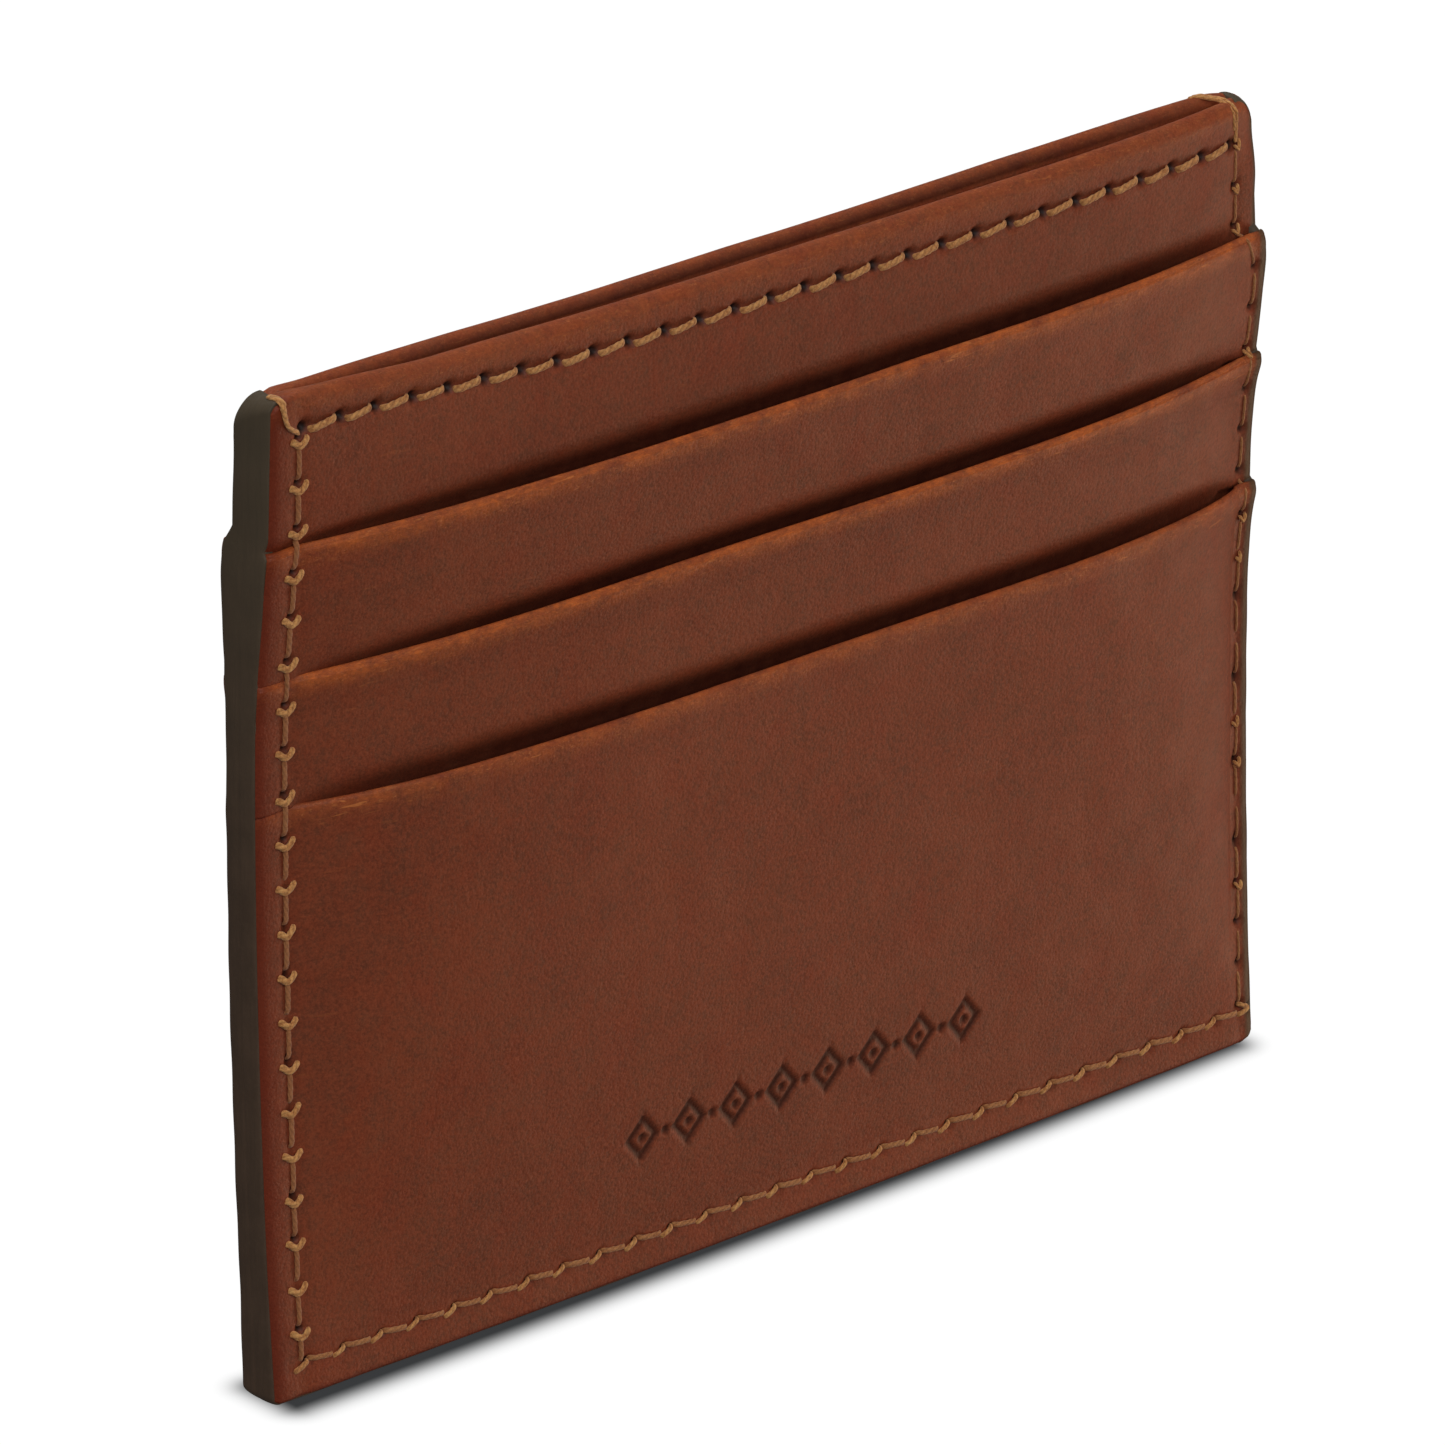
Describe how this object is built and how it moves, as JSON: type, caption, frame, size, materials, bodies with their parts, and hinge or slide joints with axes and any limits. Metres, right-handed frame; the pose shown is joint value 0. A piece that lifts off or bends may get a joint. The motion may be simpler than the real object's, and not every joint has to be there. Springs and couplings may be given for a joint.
{
  "type": "card holder",
  "caption": "Flat leather card holder with stepped card pockets on both faces and a central pocket open at the top, sewn round three sides with painted edges.",
  "frame": {"origin": "middle of the bottom edge: the centre of the base of the whole object's box", "axes": "+X runs along the pocket mouths, +Y through the thickness from the front face (at -Y) to the rear face, +Z from the closed bottom edge up to the open top"},
  "size_m": [0.1, 0.0118, 0.08],
  "materials": {
    "leather": "satin chestnut brown leather with a fine natural grain and burnished folds",
    "tail_cloth": "plain woven dark brown pocket cloth",
    "lining": "thin woven dark brown lining",
    "board": "uncoated bonded leather board",
    "thread": "twisted tan polyester thread",
    "edge_paint": "satin dark olive brown edge paint"
  },
  "bodies": {
    "root": {"front_panel": "leather", "front_pocket_upper": "leather", "front_pocket_middle": "leather", "front_pocket_lower": "leather", "front_pocket_tail_upper": "tail_cloth", "front_pocket_tail_middle": "tail_cloth", "front_lining": "lining", "front_stiffener": "board", "front_top_seam": "thread", "front_perimeter_seam": "thread", "front_base_seam_upper": "thread", "front_base_seam_middle": "thread", "rear_panel": "leather", "rear_pocket_upper": "leather", "rear_pocket_middle": "leather", "rear_pocket_lower": "leather", "rear_pocket_tail_upper": "tail_cloth", "rear_pocket_tail_middle": "tail_cloth", "rear_lining": "lining", "rear_stiffener": "board", "rear_top_seam": "thread", "rear_perimeter_seam": "thread", "rear_base_seam_upper": "thread", "rear_base_seam_middle": "thread", "edge_paint_left": "edge_paint", "edge_paint_bottom": "edge_paint", "edge_paint_right": "edge_paint"}
  },
  "joints": []
}
